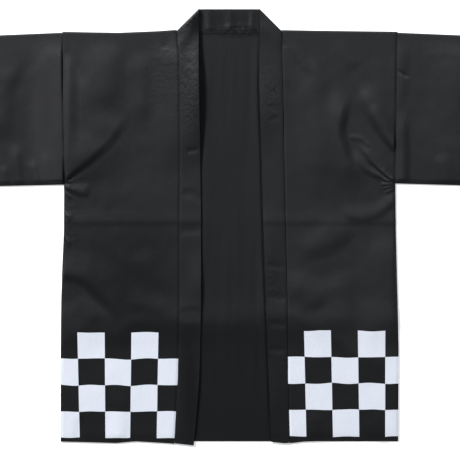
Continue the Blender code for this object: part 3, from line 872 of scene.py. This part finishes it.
def collar_place(column, row):
    """Middle of the strip: columns from its seam to its free edge, rows from the right hem round."""
    side = "right" if row <= COLLAR_ROWS / 2 else "left"
    inward = 1.0 if side == "right" else -1.0
    from_seam = column / COLLAR_COLUMNS
    lateral = from_seam * COLLAR_WIDTH
    length = collar_length(side, lateral, min(row, COLLAR_ROWS - row))
    y = SHOULDER_Y + length
    seam_column, edge_column = EDGE_COLUMNS[side]
    x = blend(read_row(COLLAR_EDGES, y, seam_column), read_row(COLLAR_EDGES, y, edge_column), from_seam)
    past = (length - lateral - TURN_START) / math.sqrt(2.0)
    neck_z = COLLAR_WALL / 2.0
    top_z = neck_z + 2.0 * FOLD_RADIUS
    puff = read_row(CORNER_PUFFS, from_seam, 1 if side == "right" else 2)
    if past <= 0.0:
        z = blend(COLLAR_REST + neck_z, top_z, ease(1.0 + (y - SHOULDER_Y) / COLLAR_WIDTH))
        for lift_side, lift_y, reach, rise in COLLAR_LIFTS:
            if lift_side == side:
                z += rise * bump(y - lift_y, reach) * ease(from_seam)
        free = ease(-past / CORNER_FADE) * ease((y - BACK_HEM_Y) / HEM_REACH)
        loft = COLLAR_LOFT + creases(FRONT_CREASES, x, y) + creases(COLLAR_CREASES, x, y)
        loft = free * max(loft + COLLAR_WAVES * unevenness(x, y, NOISE_LAYERS["collar"]), 0.0)
        loft = seam_groove(loft, lateral) + puff * ease(1.0 + past / CORNER_REACH)
        return x, y, z + loft + packing_height(y), lateral, length
    outward = Vector((-inward, 1.0)) / math.sqrt(2.0)
    turn = min(past, TURN_LENGTH) / FOLD_RADIUS
    back_run = max(past - TURN_LENGTH, 0.0)
    flat = Vector((x, y)) + outward * (FOLD_RADIUS * math.sin(turn) - past - back_run)
    z = neck_z + (FOLD_RADIUS + puff / 2.0) * (1.0 + math.cos(turn))
    free = ease(back_run / NECK_FADE) * ease(from_seam / NECK_EDGE)
    free *= ease((1.0 - from_seam) / NECK_EDGE)
    waves = unevenness(NECK_FINER * flat.x, flat.y, NOISE_LAYERS["neck"])
    loft = NECK_LOFT + creases(NECK_CREASES, flat.x, flat.y) + NECK_WAVES * waves
    return flat.x, flat.y, z + free * max(loft, 0.0), lateral, length


collar = new_cloth("collar_strip", COLLAR_COLUMNS, COLLAR_ROWS, collar_place, COLLAR_WALL, 0.0)
collar.data.materials.append(plain_cloth)
edge_round = collar.modifiers.new("edge_round", "BEVEL")
edge_round.width = 0.7 * MM
edge_round.segments = 3
edge_round.limit_method = "ANGLE"
edge_round.angle_limit = math.radians(50.0)
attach(collar, "root")
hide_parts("collar")

# Thread: black sewing thread in machine stitches. One row holds the neck's seam allowance down
# inside the back, and one runs across each turned-in cuff.
STITCH_PITCH = 4.0
STITCH_SIZE = (3.2, 0.8, 0.7)       # length, width and height of one stitch

STITCH_ROWS = (
    # piece, from x, y, to x, y
    ("body", (-57.0, NECK_STITCH_Y), (52.0, NECK_STITCH_Y)),
    ("sleeve_right_cloth", (CUFF_TURN - CUFF_X, 77.0), (CUFF_TURN - CUFF_X, 342.0)),
    ("sleeve_left_cloth", (CUFF_X - CUFF_TURN, 77.0), (CUFF_X - CUFF_TURN, 341.0)),
)


def sew_row(shape, piece_name, start, end):
    """Adds a row of stitches on the top of a piece, each a ball 1 mm across stretched to its size."""
    start, run = Vector(start), Vector(end) - Vector(start)
    tree = BVHTree.FromObject(bpy.data.objects[piece_name], bpy.context.evaluated_depsgraph_get())
    turn = Matrix.Rotation(math.atan2(run.y, run.x), 4, "Z")
    count = round(run.length / STITCH_PITCH)
    for number in range(count):
        middle = (start + run * ((number + 0.5) / count)) * MM
        on_cloth = tree.ray_cast((middle.x, middle.y, 1.0), (0.0, 0.0, -1.0))[0]
        place = Matrix.Translation(on_cloth) @ turn @ Matrix.Diagonal((*STITCH_SIZE, 1.0))
        bmesh.ops.create_uvsphere(shape, u_segments=8, v_segments=5, radius=0.5 * MM, matrix=place)


thread_shape = bmesh.new()
for stitch_row in STITCH_ROWS:
    sew_row(thread_shape, *stitch_row)
for face in thread_shape.faces:
    face.smooth = True
thread = add_object("thread", thread_shape)

twist = new_material("twisted_thread")
strand_place = new_node(twist, "TexCoord", "Object", {})
strands = new_node(
    twist, "TexWave", "Fac", {"Vector": strand_place, "Scale": 700.0}, bands_direction="DIAGONAL")
strand_relief = new_node(
    twist, "Bump", "Normal", {"Height": strands, "Strength": 0.5, "Distance": 0.0002})
feed_shader(twist, {"Base Color": BLACK, "Roughness": 0.42, "Normal": strand_relief})
thread.data.materials.append(twist)
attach(thread, "root")

# Floor, light and camera. The floor glows faintly, because the photo shows no shadow on its white
# ground. A broad key light stands low at the photo's upper left, with a weak fill at its upper
# right. The camera looks straight down.
FLOOR_SIZE = 6.0
FLOOR_DROP = 0.0004         # keeps the floor clear of the coat's underside

floor_shape = bmesh.new()
bmesh.ops.create_grid(floor_shape, x_segments=1, y_segments=1, size=FLOOR_SIZE)
bmesh.ops.translate(floor_shape, verts=floor_shape.verts, vec=(0.0, 0.0, -FLOOR_DROP))
floor = add_object("floor", floor_shape)
floor_paint = new_material("floor_paint")
feed_shader(floor_paint, {
    "Base Color": (0.9, 0.9, 0.9, 1.0),
    "Roughness": 0.9,
    "Emission Color": (1.0, 1.0, 1.0, 1.0),
    "Emission Strength": 0.45,
})
floor.data.materials.append(floor_paint)

DAYLIGHT = (0.945, 0.98, 1.0)
world = bpy.data.worlds.new("studio")
world.use_nodes = True
world.node_tree.nodes["Background"].inputs["Color"].default_value = (*DAYLIGHT, 1.0)
world.node_tree.nodes["Background"].inputs["Strength"].default_value = 0.25
bpy.context.scene.world = world


def area_light(name, place, size, watts):
    """A round light aimed at the middle of the coat."""
    light = bpy.data.lights.new(name, "AREA")
    light.color = DAYLIGHT
    light.shape = "DISK"
    light.size = size
    light.energy = watts
    lamp = bpy.data.objects.new(name, light)
    lamp.location = place
    lamp.rotation_euler = (-Vector(place)).to_track_quat("-Z", "Y").to_euler()
    bpy.context.scene.collection.objects.link(lamp)
    return lamp


area_light("key", (-7.2, 6.3, 6.3), 2.7, 2320.0)
area_light("fill", (4.2, 5.4, 4.5), 2.7, 148.0)

VIEW_WIDTH = 0.851          # metres across the photo at the floor
CAMERA_HEIGHT = 8.0
camera_data = bpy.data.cameras.new("camera")
camera_data.sensor_width = 36.0
camera_data.lens = camera_data.sensor_width * CAMERA_HEIGHT / VIEW_WIDTH
camera = bpy.data.objects.new("camera", camera_data)
camera.location = (-0.0009, -0.0054, CAMERA_HEIGHT)
bpy.context.scene.collection.objects.link(camera)
bpy.context.scene.camera = camera
bpy.context.scene.view_settings.view_transform = "Standard"
